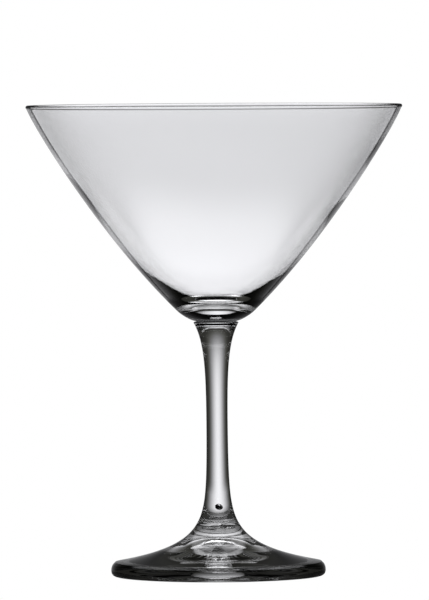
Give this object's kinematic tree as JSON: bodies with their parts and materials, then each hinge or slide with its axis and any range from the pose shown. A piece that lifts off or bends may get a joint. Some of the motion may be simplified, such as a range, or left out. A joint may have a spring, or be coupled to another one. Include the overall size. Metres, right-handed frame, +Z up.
{
  "type": "martini glass",
  "caption": "Clear stemware with a wide conical bowl, a slender drawn stem and a round domed foot, for cocktails served without ice.",
  "frame": {"origin": "centre of the standing plane, on the glass's axis", "axes": "+Z up along the axis of revolution, from the foot to the rim; X and Y are any two directions across it"},
  "size_m": [0.116, 0.116, 0.1452],
  "materials": {
    "bowl_glass": "clear, fire-polished",
    "stem_glass": "clear, fire-polished",
    "foot_glass": "clear, pressed, with a stippled disc in the middle of its underside"
  },
  "bodies": {
    "root": {"bowl": "bowl_glass", "stem": "stem_glass", "foot": "foot_glass"}
  },
  "joints": []
}
